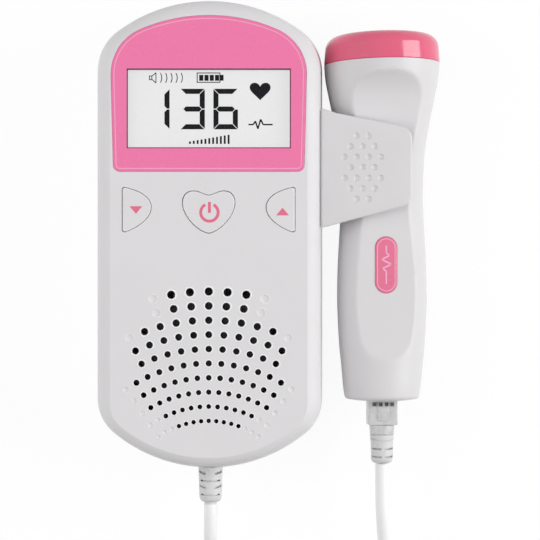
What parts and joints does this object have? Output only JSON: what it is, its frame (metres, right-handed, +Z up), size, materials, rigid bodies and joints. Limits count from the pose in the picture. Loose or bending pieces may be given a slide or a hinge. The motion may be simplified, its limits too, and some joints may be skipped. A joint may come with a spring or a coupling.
{
  "type": "fetal doppler monitor",
  "caption": "Handheld fetal heart monitor with display, heart-shaped power button and speaker grille, its probe held in a side clip and joined by a coiled lead.",
  "frame": {"origin": "centre of the footprint of the unit and its clipped probe, on the surface that the object lies on; the lead is not counted", "axes": "+Y towards the display end, +X towards the side that holds the probe, +Z up out of the display"},
  "size_m": [0.0991, 0.2193, 0.0337],
  "materials": {
    "white_case": "fine satin moulded plastic, off-white",
    "white_button": "satin moulded plastic, off-white",
    "pink_bezel": "smooth semi-gloss pink plastic",
    "pink_cap": "glossy deeper pink plastic",
    "pink_badge": "smooth pink plastic",
    "clear_window": "clear acrylic",
    "display_glass": "pale grey liquid crystal glass",
    "white_diffuser": "milky diffuser",
    "grey_rubber": "matt grey rubber",
    "circuit_board": "green solder mask",
    "black_cloth": "thin black dust cloth",
    "plain_steel": "plated sheet steel",
    "paper_cone": "pressed paper pulp",
    "magnet": "sintered ferrite",
    "cell_jacket": "plain printed jacket",
    "black_plastic": "black moulded plastic",
    "screw_steel": "zinc-plated steel",
    "crystal": "fired piezo ceramic",
    "clear_plug": "clear polycarbonate",
    "contact_brass": "gold-plated blades",
    "cord_jacket": "smooth white soft plastic",
    "tie_band": "white woven hook-and-loop band"
  },
  "bodies": {
    "main_unit": {"front_case": "white_case", "rear_case": "white_case", "display_bezel": "pink_bezel", "lcd_window": "clear_window", "lcd_panel": "display_glass", "lcd_backlight": "white_diffuser", "lcd_connector": "grey_rubber", "main_board": "circuit_board", "speaker_cloth": "black_cloth", "speaker_basket": "plain_steel", "speaker_cone": "paper_cone", "speaker_magnet": "magnet", "battery_1": "cell_jacket", "battery_2": "cell_jacket", "battery_contact_1": "plain_steel", "battery_contact_2": "plain_steel", "battery_contact_3": "plain_steel", "battery_contact_4": "plain_steel", "switch_down": "black_plastic", "switch_power": "black_plastic", "switch_up": "black_plastic", "case_screw_1": "screw_steel", "case_screw_2": "screw_steel", "case_screw_3": "screw_steel", "case_screw_4": "screw_steel", "board_screw_1": "screw_steel", "board_screw_2": "screw_steel", "board_screw_3": "screw_steel", "board_screw_4": "screw_steel", "holster": "white_case", "holster_screw_1": "screw_steel", "holster_screw_2": "screw_steel", "cord_relief": "cord_jacket", "cord_main_stretch": "cord_jacket", "cord_coil": "cord_jacket", "cord_tie": "tie_band", "cord_probe_stretch": "cord_jacket"},
    "down_button": {"button_down": "white_button", "plunger_down": "black_plastic"},
    "power_button": {"button_power": "white_button", "plunger_power": "black_plastic"},
    "up_button": {"button_up": "white_button", "plunger_up": "black_plastic"},
    "cover": {"battery_cover": "white_case"},
    "probe": {"probe_front_shell": "white_case", "probe_rear_shell": "white_case", "probe_cap": "pink_cap", "transducer_sender": "crystal", "transducer_receiver": "crystal", "transducer_backing": "grey_rubber", "probe_board": "circuit_board", "probe_socket": "black_plastic", "probe_badge": "pink_badge", "probe_screw_1": "screw_steel", "probe_screw_2": "screw_steel", "plug_body": "clear_plug", "plug_contacts": "contact_brass", "plug_boot": "cord_jacket"}
  },
  "joints": [
    {"name": "down_press", "type": "slide", "parent": "main_unit", "child": "down_button", "axis": [0, 0, -1], "range_m": [0, 0.0006], "stiffness_N_per_m": 400},
    {"name": "power_press", "type": "slide", "parent": "main_unit", "child": "power_button", "axis": [0, 0, -1], "range_m": [0, 0.0006], "stiffness_N_per_m": 400},
    {"name": "up_press", "type": "slide", "parent": "main_unit", "child": "up_button", "axis": [0, 0, -1], "range_m": [0, 0.0006], "stiffness_N_per_m": 400},
    {"name": "cover_slide", "type": "slide", "parent": "main_unit", "child": "cover", "axis": [0, 1, 0], "range_m": [0, 0.014]},
    {"name": "probe_slide", "type": "slide", "parent": "main_unit", "child": "probe", "axis": [1, 0, 0], "range_m": [0, 0.022]}
  ]
}
